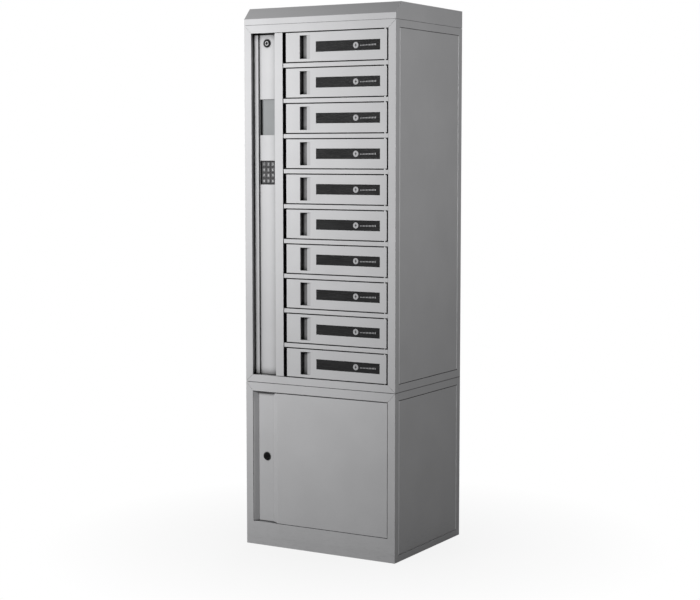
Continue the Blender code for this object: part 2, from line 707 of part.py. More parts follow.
def make_power_supply(wall):
    """The power supply: a thin case with a row of cooling slots in its left face."""
    left = wall - SUPPLY_WIDTH
    supply = block("power_supply", (left, wall), SUPPLY_Y, SUPPLY_Z, "zinc")
    pitch = (SUPPLY_Y[1] - SUPPLY_Y[0]) / (SUPPLY_SLOTS + 1)
    for number in range(1, SUPPLY_SLOTS + 1):
        slot_y = around(SUPPLY_Y[0] + number * pitch, VENT[1])
        slot_z = grown(SUPPLY_Z, -2 * VENT_PITCH)
        cut(supply, block(f"supply_slot_{number}", (left - OVERCUT, left + OVERCUT), slot_y, slot_z))
    inside = (grown((left, wall), -PLATE), grown(SUPPLY_Y, -PLATE), grown(SUPPLY_Z, -PLATE))
    cut(supply, block("supply_hollow", *inside))


def make_controller(wall):
    """The controller, with a socket for its wiring in its front face."""
    span = (wall - CONTROLLER_WIDTH, wall)
    controller = block("controller_box", span, CONTROLLER_Y, CONTROLLER_Z, "black_plastic")
    port_y = (CONTROLLER_Y[0] - OVERCUT, CONTROLLER_Y[0] + OVERCUT)
    port_z = grown(CONTROLLER_Z, -6 * PORT_MARGIN)
    cut(controller, block("controller_port", grown(span, -PORT_MARGIN), port_y, port_z))
    inside = (grown(span, -PLATE), grown(CONTROLLER_Y, -PLATE), grown(CONTROLLER_Z, -PLATE))
    cut(controller, block("controller_hollow", *inside))


def make_power_inlet():
    """The mains inlet in the back panel: a socket with three blades."""
    face = DEPTH - BACK_SET_IN
    inlet = block("power_inlet", INLET_X, (face - INLET_BODY, face), INLET_Z, "black_plastic")
    middle_x = sum(INLET_X) / 2
    middle_z = sum(INLET_Z) / 2
    width, height, depth = INLET_SOCKET
    socket_y = (face - depth, face + OVERCUT)
    cut(inlet, block("inlet_socket", around(middle_x, width), socket_y, around(middle_z, height)))
    blade_y = (face - BLADE_DEPTHS[1], face - BLADE_DEPTHS[0])
    for number, (across, up) in enumerate(BLADE_PLACES):
        x = around(middle_x + across, BLADE[0])
        z = around(middle_z + up, BLADE[1])
        join(inlet, block(f"inlet_blade_{number}", x, blade_y, z))


def make_electrics():
    wall = RACK_X[0] - FIT
    make_power_supply(wall)
    make_controller(wall)
    make_power_inlet()


clear_scene()
kiosk = new_collection("phone_charging_kiosk")
cutters = new_collection("cutters")
cutters.hide_render = True
make_cabinet()
make_rack()
make_charging_panel()
make_lock_rail()
make_locker_doors()
make_control_door()
make_base_door()
make_electrics()
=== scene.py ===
import json
import math

import bmesh
import bpy
from mathutils import Matrix, Vector


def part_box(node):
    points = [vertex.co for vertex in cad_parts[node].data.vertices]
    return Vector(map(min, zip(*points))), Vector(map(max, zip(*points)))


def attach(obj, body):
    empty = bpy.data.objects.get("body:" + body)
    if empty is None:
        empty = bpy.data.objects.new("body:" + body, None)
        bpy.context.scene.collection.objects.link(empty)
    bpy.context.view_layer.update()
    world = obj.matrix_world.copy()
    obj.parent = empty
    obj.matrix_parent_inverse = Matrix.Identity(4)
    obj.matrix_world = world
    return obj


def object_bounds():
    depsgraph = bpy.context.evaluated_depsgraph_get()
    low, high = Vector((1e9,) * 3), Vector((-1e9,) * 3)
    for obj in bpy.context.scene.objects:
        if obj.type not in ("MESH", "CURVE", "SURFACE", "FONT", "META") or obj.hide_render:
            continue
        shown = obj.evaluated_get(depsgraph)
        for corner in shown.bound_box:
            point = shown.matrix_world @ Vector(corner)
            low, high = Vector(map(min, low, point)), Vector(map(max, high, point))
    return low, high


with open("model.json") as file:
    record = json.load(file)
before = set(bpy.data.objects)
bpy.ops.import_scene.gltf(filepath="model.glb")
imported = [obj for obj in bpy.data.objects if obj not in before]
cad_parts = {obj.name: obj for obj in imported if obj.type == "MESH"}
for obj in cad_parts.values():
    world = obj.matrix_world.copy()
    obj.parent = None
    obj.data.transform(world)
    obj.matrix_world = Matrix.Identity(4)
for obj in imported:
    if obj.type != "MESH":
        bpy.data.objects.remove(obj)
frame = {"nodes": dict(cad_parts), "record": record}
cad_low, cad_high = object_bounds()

LOCKERS = 10

# The nodes whose look isn't simply their slot's
OWN_LOOKS = {
    "top_cap": "cap_coat",
    "control_door": "control_coat",
    "base_door": "base_coat",
    "keypad_body": "keypad_face",
}
SLOTS = {row["node"]: row["material_slot"] for row in frame["record"]["subparts"]}

# The camera: a long lens from the kiosk's front right, a little below its top
CAMERA_PLACE = (2.2938, -3.9640, 1.1068)
CAMERA_TILT = 84.817
CAMERA_TURN = 30.208
CAMERA_LENS = 83.0
SENSOR_WIDTH = 36.0
VIEW_DISTANCE = 100.0

# The lights, as (name, place, power in watts, radius in metres)
LIGHTS = (
    ("key_light", (-0.56, -1.40, 1.29), 98.0, 0.30),
    ("side_light", (1.60, -0.25, 1.40), 32.5, 0.06),
    ("back_light", (-1.1, 2.4, 2.7), 420.0, 0.60),
)
AMBIENT = 0.058

# The floor: its size, its depth below the kiosk, its grey, and the reach and strength of its shading
FLOOR_RADIUS = 30.0
FLOOR_DROP = 0.0005
FLOOR_GREY = (0.13, 0.13, 0.13, 1.0)
FLOOR_SHADE_REACH = (0.25, 0.9)
FLOOR_SHADE = 0.11
WHITE = (1.0, 1.0, 1.0, 1.0)

# Softened edges: the sheet steel, the small nodes, and the rims of the lock plugs
SHEET_EDGE = 0.0004
SMALL_EDGE = 0.0003
RIM_EDGE = 0.00015
EDGE_SEGMENTS = 2
EDGE_ANGLE = 30.0
SMALL_SLOTS = ("lock_chrome", "lock_black", "screen", "smoked_acrylic")

# Colours
STEEL = (0.50, 0.50, 0.508)
INNER_STEEL = (0.36, 0.36, 0.365)
ZINC = (0.55, 0.56, 0.57)
BRIGHT = (0.74, 0.74, 0.75)
LOCK_BLACK = (0.010, 0.010, 0.0105)
BLACK = (0.024, 0.024, 0.025)
KEYPAD_GREY = (0.078, 0.078, 0.079)
KEY_GREY = (0.115, 0.115, 0.118)
LINER_GREY = (0.165, 0.165, 0.168)
MARK_GREY = (0.40, 0.40, 0.41)
KEY_INK = (0.56, 0.56, 0.56)
# Painted shade: the near-black that colours are darkened towards in crevices, gaps and recesses
CREVICE_SHADE_BLACK = (0.004, 0.004, 0.004)
ACRYLIC = ((0.022, 0.022, 0.0225), (0.030, 0.030, 0.0305))
DISPLAY = ((0.24, 0.247, 0.251), (0.275, 0.283, 0.286))
FLECKS = ((0.42, 0.42, 0.42), (0.58, 0.58, 0.58))

# The powder coat: the width of the edges lightened by wear and painted highlight, the height of the floor
# scuffs, how far the painted highlight on the locker doors' collars reaches from their hinge, and how far
# the painted seam shade reaches
WEAR_AND_HIGHLIGHT_RADIUS = 0.0009
SCUFF_HEIGHT = 0.11
PIN_REACH = (0.0030, 0.0033)
SEAM_REACH = (0.0009, 0.0015)

# The Mix node's colour sockets, which share their names with its other sockets
MIX_COLOURS = (6, 7)
MIX_RESULT = 2

# The number of sides that the rings and discs have
ROUND_SIDES = 40


# ---------------------------------------------------------------- materials


def add(tree, kind, values=None, **settings):
    """Adds a shader node with its settings and the values of its inputs."""
    node = tree.nodes.new("ShaderNode" + kind)
    for key, value in settings.items():
        setattr(node, key, value)
    for key, value in (values or {}).items():
        node.inputs[key].default_value = value
    return node


def new_material(name, roughness, metallic=0.0, specular=0.5):
    material = bpy.data.materials.new(name)
    material.use_nodes = True
    tree = material.node_tree
    shader = tree.nodes["Principled BSDF"]
    shader.inputs["Metallic"].default_value = metallic
    shader.inputs["Roughness"].default_value = roughness
    shader.inputs["Specular IOR Level"].default_value = specular
    return material, tree, shader


def object_place(tree):
    return add(tree, "TexCoord").outputs["Object"]


def object_axis(tree, axis):
    parts = add(tree, "SeparateXYZ")
    tree.links.new(object_place(tree), parts.inputs["Vector"])
    return parts.outputs[axis]


def absolute(tree, value):
    node = add(tree, "Math", operation="ABSOLUTE")
    tree.links.new(value, node.inputs[0])
    return node.outputs["Value"]


def noise(tree, place, scale, detail=2.0, stretch=None):
    if stretch:
        mapping = add(tree, "Mapping", {"Scale": stretch})
        tree.links.new(place, mapping.inputs["Vector"])
        place = mapping.outputs["Vector"]
    node = add(tree, "TexNoise", {"Scale": scale, "Detail": detail, "Roughness": 0.55})
    tree.links.new(place, node.inputs["Vector"])
    return node.outputs["Fac"]


def remap(tree, value, low, high, to_low, to_high):
    spans = {"From Min": low, "From Max": high, "To Min": to_low, "To Max": to_high}
    node = add(tree, "MapRange", spans)
    tree.links.new(value, node.inputs["Value"])
    return node.outputs["Result"]


def tint(tree, value, dark, light, low=0.3, high=0.7):
    """A colour that runs from dark to light as the value goes from low to high."""
    ramp = add(tree, "ValToRGB")
    ramp.color_ramp.elements[0].position = low
    ramp.color_ramp.elements[0].color = (*dark, 1.0)
    ramp.color_ramp.elements[1].position = high
    ramp.color_ramp.elements[1].color = (*light, 1.0)
    tree.links.new(value, ramp.inputs["Fac"])
    return ramp.outputs["Color"]


def blend_colours(tree, share, first, second, mode="MIX"):
    """The first colour with a share of the second. The share and the colours are values or sockets."""
    mix = add(tree, "Mix", data_type="RGBA", blend_type=mode)
    if isinstance(share, float):
        mix.inputs["Factor"].default_value = share
    else:
        tree.links.new(share, mix.inputs["Factor"])
    for index, colour in zip(MIX_COLOURS, (first, second)):
        if isinstance(colour, tuple):
            mix.inputs[index].default_value = (*colour, 1.0)
        else:
            tree.links.new(colour, mix.inputs[index])
    return mix.outputs[MIX_RESULT]


def bump(tree, shader, height, strength, distance):
    node = add(tree, "Bump", {"Strength": strength, "Distance": distance})
    tree.links.new(height, node.inputs["Height"])
    tree.links.new(node.outputs["Normal"], shader.inputs["Normal"])


def vary_gloss(tree, shader, patch, low, high):
    tree.links.new(remap(tree, patch, 0.3, 0.7, low, high), shader.inputs["Roughness"])


def edge_mask(tree, radius):
    """One where the surface turns within the radius, and nought on open faces."""
    bevel = add(tree, "Bevel", {"Radius": radius}, samples=4)
    face = add(tree, "NewGeometry")
    dot = add(tree, "VectorMath", operation="DOT_PRODUCT")
    tree.links.new(bevel.outputs["Normal"], dot.inputs[0])
    tree.links.new(face.outputs["True Normal"], dot.inputs[1])
    return remap(tree, dot.outputs["Value"], 0.99, 0.85, 0.0, 1.0)


def product(tree, first, second):
    node = add(tree, "Math", operation="MULTIPLY")
    tree.links.new(first, node.inputs[0])
    tree.links.new(second, node.inputs[1])
    return node.outputs["Value"]


def painted_crevice_shade(tree, colour, reach, depth):
    """Painted shade: the colour, darkened towards black where surfaces within reach close in on it,
    unless that is the floor.
    """
    openness = add(tree, "AmbientOcclusion", {"Distance": reach}, samples=6)
    shade = remap(tree, openness.outputs["AO"], 0.38, 0.94, depth, 0.0)
    above_floor = remap(tree, object_axis(tree, "Z"), reach * 0.5, reach * 1.3, 0.0, 1.0)
    return blend_colours(tree, product(tree, shade, above_floor), colour, CREVICE_SHADE_BLACK)


def scaled(colour, factor):
    return tuple(min(1.0, channel * factor) for channel in colour)


def painted_light_on_slants(tree, colour, slant_lit_colour, axis):
    """Painted light: the colour, changed to a lighter or darker one on faces that turn between the front
    and the axis.
    """
    parts = add(tree, "SeparateXYZ")
    tree.links.new(add(tree, "TexCoord").outputs["Normal"], parts.inputs["Vector"])
    frontal = remap(tree, parts.outputs["Y"], -0.6, 0.0, 1.0, 0.0)
    slant = product(tree, absolute(tree, parts.outputs[axis]), frontal)
    return blend_colours(tree, remap(tree, slant, 0.40, 0.46, 0.0, 1.0), colour, slant_lit_colour)


def painted_pin_highlight(tree, colour, pin_highlight_colour):
    """Painted highlight: the colour, made lighter on the collars and pins of the locker doors."""
    joints = frame["record"]["behaviour"]["joints"]
    hinge = next(joint for joint in joints if joint["name"] == "locker_01_hinge")
    flat = add(tree, "VectorMath", {1: (1.0, 1.0, 0.0)}, operation="MULTIPLY")
    tree.links.new(object_place(tree), flat.inputs[0])
    away = add(tree, "VectorMath", {1: (*hinge["pos_m"][:2], 0.0)}, operation="DISTANCE")
    tree.links.new(flat.outputs["Vector"], away.inputs[0])
    return blend_colours(tree, remap(tree, away.outputs["Value"], *PIN_REACH, 1.0, 0.0), colour, pin_highlight_colour)


def painted_seam_shade(tree, colour, seam_shade_colour):
    """Painted shade: the colour, darkened along the level seam between the upper and base sides."""
    seam = (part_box("upper_right_side")[0].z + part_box("base_right_side")[1].z) / 2
    above = add(tree, "Math", {1: seam}, operation="SUBTRACT")
    tree.links.new(object_axis(tree, "Z"), above.inputs[0])
    away = absolute(tree, above.outputs["Value"])
    return blend_colours(tree, remap(tree, away, *SEAM_REACH, 0.85, 0.0), colour, seam_shade_colour)


def powder_coat(
    name, roughness=0.50, colour=STEEL, reach=0.030, slant_light=None, axis="X", pins=False, seam=False
):
    """Satin powder coat: orange peel, metallic flecks, a slow drift of tone, edges lightened by wear and
    painted highlight, floor scuffs, and painted shade in crevices.

    The slant factor is how much lighter or darker the faces that slant between the front and the axis are
    painted, as painted highlight or painted shade. pins is true for a door with a painted highlight on
    its pins, and seam is true for the sides, which get painted shade along their seam.
    """
    material, tree, shader = new_material(name, roughness, specular=0.35)
    place = object_place(tree)
    cloud = noise(tree, place, 7.0, 3.0)
    base = tint(tree, cloud, scaled(colour, 0.965), scaled(colour, 1.03))
    fleck = noise(tree, place, 2600.0, 1.0)
    base = blend_colours(tree, 0.35, base, tint(tree, fleck, *FLECKS), "OVERLAY")
    # Edges lightened, partly as patchy wear and partly as a painted highlight along them
    wear_and_highlight = edge_mask(tree, WEAR_AND_HIGHLIGHT_RADIUS)
    patchy = noise(tree, place, 60.0, 4.0)
    worn_and_lit = product(tree, wear_and_highlight, remap(tree, patchy, 0.3, 0.6, 0.25, 0.75))
    base = blend_colours(tree, worn_and_lit, base, scaled(colour, 1.35))
    low = remap(tree, object_axis(tree, "Z"), 0.0, SCUFF_HEIGHT, 1.0, 0.0)
    scuff = noise(tree, place, 45.0, 6.0, stretch=(1.0, 1.0, 5.0))
    dust = product(tree, low, remap(tree, scuff, 0.52, 0.68, 0.0, 0.35))
    base = blend_colours(tree, dust, base, scaled(colour, 0.72))
    # Painted shade in crevices, gaps and recesses
    base = painted_crevice_shade(tree, base, reach, 0.985)
    # Painted highlight or painted shade on the faces that slant between the front and the axis
    if slant_light:
        base = painted_light_on_slants(tree, base, scaled(colour, slant_light), axis)
    # Painted highlight on the locker doors' hinge pins and collars
    if pins:
        base = painted_pin_highlight(tree, base, scaled(colour, 1.7))
    # Painted shade along the seam between the upper and base sides
    if seam:
        base = painted_seam_shade(tree, base, scaled(colour, 0.30))
    tree.links.new(base, shader.inputs["Base Color"])
    vary_gloss(tree, shader, noise(tree, place, 24.0, 3.0), roughness - 0.04, roughness + 0.06)
    bump(tree, shader, noise(tree, place, 700.0, 2.0), 0.10, 0.0002)
    return material


def plated(name, colour, roughness, metallic=1.0):
    """Zinc or bright plating: blotches of tone, fine brushing, smears in the gloss, and painted shade in
    crevices.
    """
    material, tree, shader = new_material(name, roughness, metallic=metallic)
    place = object_place(tree)
    blotch = noise(tree, place, 30.0, 4.0)
    base = tint(tree, blotch, scaled(colour, 0.86), scaled(colour, 1.08))
    tree.links.new(painted_crevice_shade(tree, base, 0.03, 0.97), shader.inputs["Base Color"])
    vary_gloss(tree, shader, noise(tree, place, 90.0, 3.0), roughness - 0.06, roughness + 0.10)
    bump(tree, shader, noise(tree, place, 500.0, 2.0, stretch=(1.0, 1.0, 12.0)), 0.12, 0.0001)
    return material


def moulded(name, colour, roughness, grain, strength, specular=0.4):
    """Moulded plastic: an even fine grain, a faint drift of tone, lighter rubbed edges, and painted shade
    in crevices.
    """
    material, tree, shader = new_material(name, roughness, specular=specular)
    place = object_place(tree)
    cloud = noise(tree, place, 40.0, 3.0)
    base = tint(tree, cloud, scaled(colour, 0.85), scaled(colour, 1.15))
    rubbed = remap(tree, edge_mask(tree, 0.0006), 0.0, 1.0, 0.0, 0.5)
    base = blend_colours(tree, rubbed, base, scaled(colour, 1.9))
    tree.links.new(painted_crevice_shade(tree, base, 0.012, 0.9), shader.inputs["Base Color"])
    vary_gloss(tree, shader, noise(tree, place, 150.0, 3.0), roughness - 0.05, roughness + 0.08)
    bump(tree, shader, noise(tree, place, grain, 2.0), strength, 0.0002)
    return material


def smoked_acrylic(name):
    """Dark acrylic: nearly black, glossy, with faint wipe marks in the gloss."""
    material, tree, shader = new_material(name, 0.2, specular=0.25)
    place = object_place(tree)
    depth = noise(tree, place, 18.0, 2.0, stretch=(1.0, 1.0, 4.0))
    tree.links.new(tint(tree, depth, *ACRYLIC), shader.inputs["Base Color"])
    wipe = noise(tree, place, 35.0, 5.0, stretch=(1.0, 1.0, 7.0))
    tree.links.new(remap(tree, wipe, 0.35, 0.7, 0.20, 0.34), shader.inputs["Roughness"])
    bump(tree, shader, noise(tree, place, 220.0, 2.0), 0.02, 0.0001)
    return material


def screen_material(name):
    """A grey display that is switched off: faint rows of cells under a satin surface."""
    material, tree, shader = new_material(name, 0.35, specular=0.4)
    place = object_place(tree)
    rows = add(tree, "TexWave", {"Scale": 900.0}, wave_type="BANDS", bands_direction="Z")
    tree.links.new(place, rows.inputs["Vector"])
    base = tint(tree, noise(tree, place, 14.0, 2.0), *DISPLAY)
    base = blend_colours(tree, 0.08, base, rows.outputs["Color"], "MULTIPLY")
    tree.links.new(base, shader.inputs["Base Color"])
    vary_gloss(tree, shader, noise(tree, place, 60.0, 3.0), 0.30, 0.42)
    return material


def printed(name, colour):
    """Screen-printed ink: slightly uneven, with a soft sheen."""
    material, tree, shader = new_material(name, 0.6, specular=0.3)
    place = object_place(tree)
    ink = noise(tree, place, 900.0, 3.0)
    base = tint(tree, ink, scaled(colour, 0.85), scaled(colour, 1.1))
    tree.links.new(base, shader.inputs["Base Color"])
    bump(tree, shader, ink, 0.05, 0.0001)
    return material


def make_looks():
    """The materials, one for each of the record's slots and some for single nodes and families."""
    return {
        "powder_coat": powder_coat("silver_powder_coat"),
        # Painted light on slanting faces: a painted highlight on the sides' groove walls, and painted
        # shade on the locker doors' pocket slopes and on the cap's slope
        "side_coat": powder_coat("side_powder_coat", slant_light=1.9, seam=True),
        "locker_coat": powder_coat("locker_powder_coat", slant_light=0.82, pins=True),
        "cap_coat": powder_coat("cap_powder_coat", slant_light=0.77, axis="Z"),
        "control_coat": powder_coat("control_powder_coat", reach=0.024),
        "base_coat": powder_coat("base_powder_coat", reach=0.004),
        "inner_coat": powder_coat("inner_powder_coat", 0.55, INNER_STEEL),
        "zinc": plated("zinc_plate", ZINC, 0.36),
        "lock_chrome": plated("bright_plate", BRIGHT, 0.30, metallic=0.35),
        "lock_black": moulded("black_lock_finish", LOCK_BLACK, 0.45, 900.0, 0.05, specular=0.25),
        "black_plastic": moulded("black_moulding", BLACK, 0.50, 1400.0, 0.20),
        "keypad_face": moulded("keypad_moulding", KEYPAD_GREY, 0.50, 1400.0, 0.20),
        "key_plastic": moulded("key_moulding", KEY_GREY, 0.48, 1200.0, 0.15),
        "smoked_acrylic": smoked_acrylic("smoked_acrylic"),
        "screen": screen_material("grey_display"),
        "ink": printed("light_ink", MARK_GREY),
        "key_ink": printed("key_ink", KEY_INK),
        "liner": moulded("pocket_liner_moulding", LINER_GREY, 0.55, 1200.0, 0.20),
    }


def dress(piece, look):
    if not piece.material_slots:
        piece.data.materials.append(look)
    for slot in piece.material_slots:
        slot.link = "OBJECT"
        slot.material = look


# ---------------------------------------------------------------- mesh helpers


def piece_from(name, bm, look, body):
    """Turns a finished bmesh into a piece that rides on a body."""
    bmesh.ops.recalc_face_normals(bm, faces=bm.faces)
    mesh = bpy.data.meshes.new(name)
    bm.to_mesh(mesh)
    bm.free()
    mesh.materials.append(look)
    piece = bpy.data.objects.new(name, mesh)
    bpy.context.scene.collection.objects.link(piece)
    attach(piece, body)
    return piece


def soften(piece, width):
    edges = piece.modifiers.new("Soft edges", "BEVEL")
    edges.width = width
    edges.segments = EDGE_SEGMENTS
    edges.limit_method = "ANGLE"
    edges.angle_limit = math.radians(EDGE_ANGLE)


def thicken(bm, faces, thickness):
    """Turns flat faces into a closed plate that reaches back by the thickness."""
    grown = bmesh.ops.extrude_face_region(bm, geom=faces)
    moved = [item for item in grown["geom"] if isinstance(item, bmesh.types.BMVert)]
    bmesh.ops.translate(bm, verts=moved, vec=(0, thickness, 0))


def add_prism(bm, outline, y, thickness):
    """A closed plate whose outline is given as (x, z) points, from y back to y + thickness."""
    front = [bm.verts.new((x, y, z)) for x, z in outline]
    thicken(bm, [bm.faces.new(front)], thickness)


def circle(centre, radius, sides=ROUND_SIDES):
    points = []
    for step in range(sides):
        angle = 2 * math.pi * step / sides
        points.append((centre[0] + radius * math.cos(angle), centre[1] + radius * math.sin(angle)))
    return points


def join_loops(bm, here, onward):
    """The band of faces between two loops with the same number of points."""
    for step in range(len(here)):
        after = (step + 1) % len(here)
        bm.faces.new((here[step], here[after], onward[after], onward[step]))


def add_ring(bm, centre, outer, inner, y, thickness):
    """A flat ring facing -Y."""
    loops = []
    for radius, depth in ((outer, y), (outer, y + thickness), (inner, y + thickness), (inner, y)):
        loops.append([bm.verts.new((x, depth, z)) for x, z in circle(centre, radius)])
    for here, onward in zip(loops, loops[1:] + loops[:1]):
        join_loops(bm, here, onward)


def add_pierced_disc(bm, centre, radius, hole, y, thickness):
    """A flat disc facing -Y with a hole of the given outline through it."""
    loops = [circle(centre, radius), [(centre[0] + x, centre[1] + z) for x, z in hole]]
    edges = []
    for loop in loops:
        verts = [bm.verts.new((x, y, z)) for x, z in loop]
        edges += [bm.edges.new((verts[i - 1], verts[i])) for i in range(len(verts))]
    filled = bmesh.ops.triangle_fill(bm, use_beauty=True, use_dissolve=False, edges=edges)
    faces = [item for item in filled["geom"] if isinstance(item, bmesh.types.BMFace)]
    thicken(bm, faces, thickness)


def rectangle(x, z):
    return [(x[0], z[0]), (x[1], z[0]), (x[1], z[1]), (x[0], z[1])]


def locker_names(index):
    number = f"{index + 1:02d}"
    return f"locker_door_{number}", f"window_{number}", f"locker_{number}", number


# ---------------------------------------------------------------- pieces


def dress_nodes(looks):
    """Every carried-over node gets its slot's material and softly rounded edges."""
    for name, node in frame["nodes"].items():
        slot = SLOTS[name]
        look = looks[slot]
        if name.endswith("_side"):
            look = looks["side_coat"]
        elif name.startswith("locker_door_"):
            look = looks["locker_coat"]
        elif name in OWN_LOOKS:
            look = looks[OWN_LOOKS[name]]
        dress(node, look)
        if not name.startswith("key_"):
            soften(node, SMALL_EDGE if slot in SMALL_SLOTS else SHEET_EDGE)


# The charging mark: the window's flange behind the door, the mark's middle from the left edge of the
# window's front, its disc and bolt, and its level bars
WINDOW_FLANGE = 0.004
MARK_FROM_LEFT = 0.1249
MARK_RADIUS = 0.0082
MARK_THICKNESS = 0.0001
BOLT = (
    (0.0014, 0.0060), (-0.0036, -0.0010), (-0.0006, -0.0010),
    (-0.0014, -0.0060), (0.0036, 0.0010), (0.0006, 0.0010),
)
BARS = 11
BARS_START = 0.0138
BAR_PITCH = 0.0046
BAR_WIDTH = 0.0022
BAR_HEIGHTS = (0.0024, 0.0046)


def make_charge_marks(looks):
    """A generic charging mark on each window: a disc with a bolt cut out of it, and level bars."""
    for index in range(LOCKERS):
        _, window, body, number = locker_names(index)
        low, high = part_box(window)
        middle = (low.z + high.z) / 2
        y = low.y - MARK_THICKNESS
        bm = bmesh.new()
        mark_x = low.x + WINDOW_FLANGE + MARK_FROM_LEFT
        add_pierced_disc(bm, (mark_x, middle), MARK_RADIUS, BOLT, y, MARK_THICKNESS)
        foot = middle - BAR_HEIGHTS[1] / 2
        for bar in range(BARS):
            start = mark_x + BARS_START + bar * BAR_PITCH
            height = BAR_HEIGHTS[0] + (BAR_HEIGHTS[1] - BAR_HEIGHTS[0]) * bar / (BARS - 1)
            outline = rectangle((start, start + BAR_WIDTH), (foot, foot + height))
            add_prism(bm, outline, y, MARK_THICKNESS)
        piece_from(f"charge_mark_{number}", bm, looks["ink"], body)


# The finger pocket: places across from the kiosk's left side and back from its front, its height, and
# the liner's gap from its walls
POCKET_LEFT = 0.1815
POCKET_FOOT = 0.1982
POCKET_RIM = 0.0016
POCKET_SLOPE_END = 0.009
POCKET_FLOOR = 0.013
POCKET_HEIGHT = 0.0635
LINER_GAP = 0.0002
LINER_THICKNESS = 0.0004


def make_pocket_liners(looks):
    """A dark liner in each finger pocket: its left wall, floor, top and bottom."""
    left, right = POCKET_LEFT + LINER_GAP, POCKET_FOOT - LINER_GAP
    floor = POCKET_FLOOR - LINER_GAP
    outline = ((left, POCKET_RIM), (left, floor), (right, floor), (right, POCKET_SLOPE_END))
    for index in range(LOCKERS):
        door, _, body, number = locker_names(index)
        low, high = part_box(door)
        middle = (low.z + high.z) / 2
        bm = bmesh.new()
        rows = []
        for z in (middle - POCKET_HEIGHT / 2 + LINER_GAP, middle + POCKET_HEIGHT / 2 - LINER_GAP):
            rows.append([bm.verts.new((cad_low.x + x, cad_low.y + y, z)) for x, y in outline])
        for step in range(len(outline) - 1):
            bm.faces.new((rows[0][step], rows[0][step + 1], rows[1][step + 1], rows[1][step]))
        bm.faces.new(rows[0])
        bm.faces.new(rows[1])
        piece = piece_from(f"pocket_liner_{number}", bm, looks["liner"], body)
        wall = piece.modifiers.new("Wall", "SOLIDIFY")
        wall.thickness = LINER_THICKNESS
        wall.offset = 0.0
        wall.use_even_offset = True


# The legends on the keys
LEGENDS = {"star": "*", "hash": "#"}
LEGEND_SIZE = 0.0090
STAR_SIZE = 0.0140
LEGEND_RELIEF = 0.00005
LEGEND_BOLDNESS = 0.00003


def legend_mesh(label):
    """The character's mesh, lying flat as Blender's text does."""
    text = bpy.data.curves.new("legend_" + label, "FONT")
    text.body = LEGENDS.get(label, label)
    text.size = STAR_SIZE if label == "star" else LEGEND_SIZE
    text.align_x = "CENTER"
    text.align_y = "CENTER"
    text.extrude = LEGEND_RELIEF
    text.offset = LEGEND_BOLDNESS
    guide = bpy.data.objects.new("legend_guide", text)
    bpy.context.scene.collection.objects.link(guide)
    graph = bpy.context.evaluated_depsgraph_get()
    mesh = bpy.data.meshes.new_from_object(guide.evaluated_get(graph))
    bpy.data.objects.remove(guide)
    return mesh


def make_key_legends(looks):
    """The digit, star or hash printed on the middle of each key."""
    for name in frame["nodes"]:
        if not name.startswith("key_"):
            continue
        label = name[len("key_"):]
        low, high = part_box(name)
        bm = bmesh.new()
        bm.from_mesh(legend_mesh(label))
        bmesh.ops.remove_doubles(bm, verts=bm.verts, dist=1e-7)
        xs = [vert.co.x for vert in bm.verts]
        ys = [vert.co.y for vert in bm.verts]
        centre = Vector(((min(xs) + max(xs)) / 2, (min(ys) + max(ys)) / 2, 0))
        bmesh.ops.translate(bm, verts=bm.verts, vec=-centre)
        bmesh.ops.rotate(bm, verts=bm.verts, matrix=Matrix.Rotation(math.pi / 2, 3, "X"))
        place = ((low.x + high.x) / 2, low.y - LEGEND_RELIEF, (low.z + high.z) / 2)
        bmesh.ops.translate(bm, verts=bm.verts, vec=place)
        piece_from(f"key_legend_{label}", bm, looks["key_ink"], "keypad_key_" + label)


# The lock plugs' faces: half the cam's width, which puts its top above the plug's middle by as much,
# the rim outside and inside, the core, and the keyway
CAM_HALF_WIDTH = 0.0070
RIM_RADII = (0.0058, 0.0040)
RIM_DEPTHS = (-0.0004, 0.0002)
CORE_RADIUS = 0.0039
CORE_DEPTHS = (-0.0002, 0.0001)
KEYWAY = 0.0014


def half_disc(centre, radius, slot, side):
    """Half of a round face, cut back from the middle to leave room for a slot."""
    start = math.asin(slot / 2 / radius)
    steps = 14
    points = []
    for step in range(steps + 1):
        angle = start + (math.pi - 2 * start) * step / steps
        x = centre[0] + side * radius * math.sin(angle)
        points.append((x, centre[1] + radius * math.cos(angle)))
    return points


def make_lock_faces(looks):
    """Each plug's face: a bright or black rim round a dark core that leaves the keyway open."""
    for name, rim in (("control", "lock_chrome"), ("base", "lock_black")):
        body = name + "_lock"
        low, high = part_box(name + "_lock_plug")
        centre = ((low.x + high.x) / 2, high.z - CAM_HALF_WIDTH)
        bm = bmesh.new()
        add_ring(bm, centre, *RIM_RADII, low.y + RIM_DEPTHS[0], RIM_DEPTHS[1] - RIM_DEPTHS[0])
        soften(piece_from(name + "_lock_rim", bm, looks[rim], body), RIM_EDGE)
        bm = bmesh.new()
        for side in (-1, 1):
            half = half_disc(centre, CORE_RADIUS, KEYWAY, side)
            add_prism(bm, half, low.y + CORE_DEPTHS[0], CORE_DEPTHS[1] - CORE_DEPTHS[0])
        piece_from(name + "_lock_core", bm, looks["lock_black"], body)


# The back panels' screws: their places, and the head's radius, height, sides and recess
SCREW_MARGIN = 0.012
SCREW_ROWS = {"upper_back_panel": 5, "base_back_panel": 3}
SCREW_LIFT = 0.0001
SCREW_RADIUS = 0.0036
SCREW_HEIGHT = 0.0016
SCREW_SIDES = 20
SCREW_PROFILE = ((1.0, 0.0), (1.0, 0.35), (0.86, 0.75), (0.5, 1.0))
SCREW_RECESS = 0.55
SCREW_SHARP_ANGLE = 40


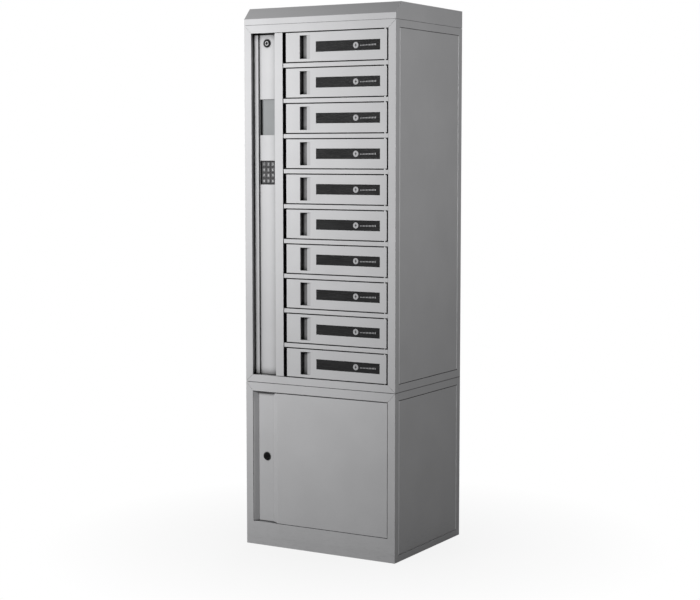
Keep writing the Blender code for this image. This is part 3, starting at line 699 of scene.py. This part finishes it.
def add_screw(bm, place):
    """A pan-head screw facing +Y with a round recess in its head, built as a turned profile."""
    rings = []
    for reach, rise in SCREW_PROFILE:
        loop = circle((place[0], place[2]), SCREW_RADIUS * reach, SCREW_SIDES)
        rings.append([bm.verts.new((x, place[1] + SCREW_HEIGHT * rise, z)) for x, z in loop])
    for here, onward in zip(rings, rings[1:]):
        join_loops(bm, here, onward)
    bm.faces.new(rings[0])
    depth = place[1] + SCREW_HEIGHT * SCREW_RECESS
    floor = [bm.verts.new((vert.co.x, depth, vert.co.z)) for vert in rings[-1]]
    join_loops(bm, rings[-1], floor)
    bm.faces.new(floor)


def make_back_screws(looks):
    """Pan-head screws round both back panels."""
    for panel, rows in SCREW_ROWS.items():
        low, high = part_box(panel)
        columns = (low.x + SCREW_MARGIN, (low.x + high.x) / 2, high.x - SCREW_MARGIN)
        bm = bmesh.new()
        for row in range(rows):
            z = low.z + SCREW_MARGIN + (high.z - low.z - 2 * SCREW_MARGIN) * row / (rows - 1)
            for x in columns:
                inside = x == columns[1] and 0 < row < rows - 1
                if not inside:
                    add_screw(bm, (x, high.y + SCREW_LIFT, z))
        screws = piece_from(panel + "_screws", bm, looks["zinc"], "cabinet")
        screws.data.shade_smooth()
        screws.data.set_sharp_from_angle(angle=math.radians(SCREW_SHARP_ANGLE))


# ---------------------------------------------------------------- stage


def make_camera():
    data = bpy.data.cameras.new("camera")
    data.lens = CAMERA_LENS
    data.sensor_width = SENSOR_WIDTH
    data.clip_end = VIEW_DISTANCE
    camera = bpy.data.objects.new("camera", data)
    camera.location = CAMERA_PLACE
    camera.rotation_euler = (math.radians(CAMERA_TILT), 0.0, math.radians(CAMERA_TURN))
    bpy.context.scene.collection.objects.link(camera)
    bpy.context.scene.camera = camera


def make_lights():
    for name, place, power, radius in LIGHTS:
        data = bpy.data.lights.new(name, "POINT")
        data.energy = power
        data.shadow_soft_size = radius
        light = bpy.data.objects.new(name, data)
        light.location = place
        light.visible_camera = False
        light.visible_glossy = name != "key_light"
        bpy.context.scene.collection.objects.link(light)


def make_world():
    """White behind the object, and a low even light from all round."""
    world = bpy.data.worlds.new("studio")
    bpy.context.scene.world = world
    world.use_nodes = True
    tree = world.node_tree
    seen = add(tree, "LightPath").outputs["Is Camera Ray"]
    strength = add(tree, "MapRange", {"To Min": AMBIENT, "To Max": 1.0})
    tree.links.new(seen, strength.inputs["Value"])
    background = tree.nodes["Background"]
    background.inputs["Color"].default_value = WHITE
    tree.links.new(strength.outputs["Result"], background.inputs["Strength"])


def make_floor():
    """A pale floor that fades into the white behind it away from the kiosk."""
    bm = bmesh.new()
    bmesh.ops.create_circle(bm, cap_ends=True, radius=FLOOR_RADIUS, segments=64)
    mesh = bpy.data.meshes.new("studio_floor")
    bm.to_mesh(mesh)
    bm.free()
    floor = bpy.data.objects.new("studio_floor", mesh)
    floor.location = (0.0, 0.0, -FLOOR_DROP)
    bpy.context.scene.collection.objects.link(floor)
    material, tree, shader = new_material("pale_floor", 0.8, specular=0.1)
    shader.inputs["Base Color"].default_value = FLOOR_GREY
    distance = add(tree, "VectorMath", operation="LENGTH")
    tree.links.new(object_place(tree), distance.inputs[0])
    shade = remap(tree, distance.outputs["Value"], *FLOOR_SHADE_REACH, FLOOR_SHADE, 0.0)
    seen = add(tree, "LightPath").outputs["Is Camera Ray"]
    glow = add(tree, "Emission", {"Color": WHITE, "Strength": 1.0})
    white = add(tree, "MixShader")
    tree.links.new(shade, white.inputs["Fac"])
    tree.links.new(glow.outputs["Emission"], white.inputs[1])
    tree.links.new(shader.outputs["BSDF"], white.inputs[2])
    chosen = add(tree, "MixShader")
    tree.links.new(seen, chosen.inputs["Fac"])
    tree.links.new(shader.outputs["BSDF"], chosen.inputs[1])
    tree.links.new(white.outputs["Shader"], chosen.inputs[2])
    tree.links.new(chosen.outputs["Shader"], tree.nodes["Material Output"].inputs["Surface"])
    mesh.materials.append(material)


make_camera()
make_lights()
make_world()
make_floor()
looks = make_looks()
dress_nodes(looks)
make_charge_marks(looks)
make_pocket_liners(looks)
make_key_legends(looks)
make_lock_faces(looks)
make_back_screws(looks)
bpy.context.scene.view_settings.view_transform = "Standard"
